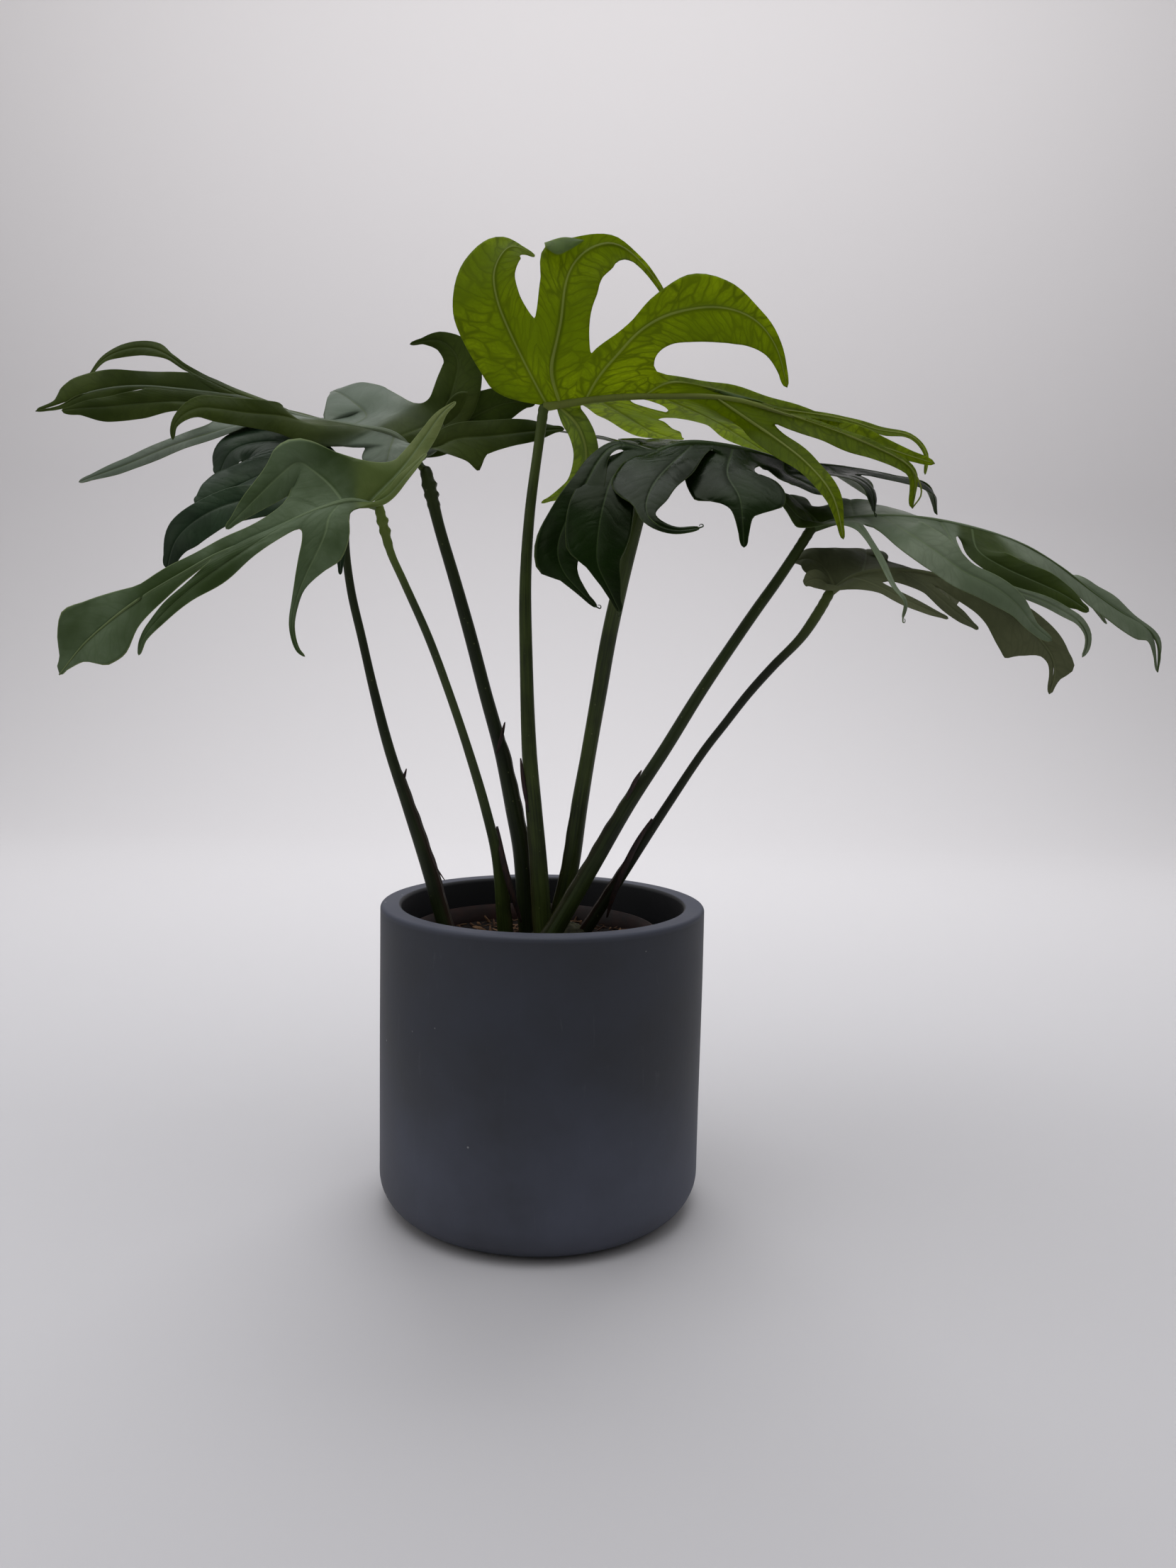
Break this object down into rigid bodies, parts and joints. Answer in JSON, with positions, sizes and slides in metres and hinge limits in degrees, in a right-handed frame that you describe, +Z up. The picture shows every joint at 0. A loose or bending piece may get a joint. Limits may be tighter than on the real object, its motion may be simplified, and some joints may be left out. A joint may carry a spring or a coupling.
{
  "type": "potted swiss cheese plant",
  "caption": "Potted swiss cheese plant with long-stalked, deeply cut and split leaves, rooted in a nursery pot inside a plain cylindrical planter.",
  "frame": {"origin": "middle of the planter's underside, on the surface it stands on", "axes": "+Z up along the planter's axis; the picture looks along +Y, with +X to its right, where most of the leaves reach"},
  "size_m": [1.0608, 0.3121, 0.8767],
  "materials": {
    "planter": "matt painted fibre clay",
    "nursery": "satin",
    "soil": "rough",
    "crown": "rough",
    "stalk": "satin",
    "blade": "satin"
  },
  "bodies": {
    "root": {"planter": "planter", "nursery_pot": "nursery", "soil": "soil", "crown": "crown", "stalk_a": "stalk", "leaf_a": "blade", "stalk_b": "stalk", "leaf_b": "blade", "stalk_c": "stalk", "leaf_c": "blade", "stalk_d": "stalk", "leaf_d": "blade", "stalk_e": "stalk", "leaf_e": "blade", "stalk_f": "stalk", "leaf_f": "blade", "stalk_g": "stalk", "leaf_g": "blade"}
  },
  "joints": []
}
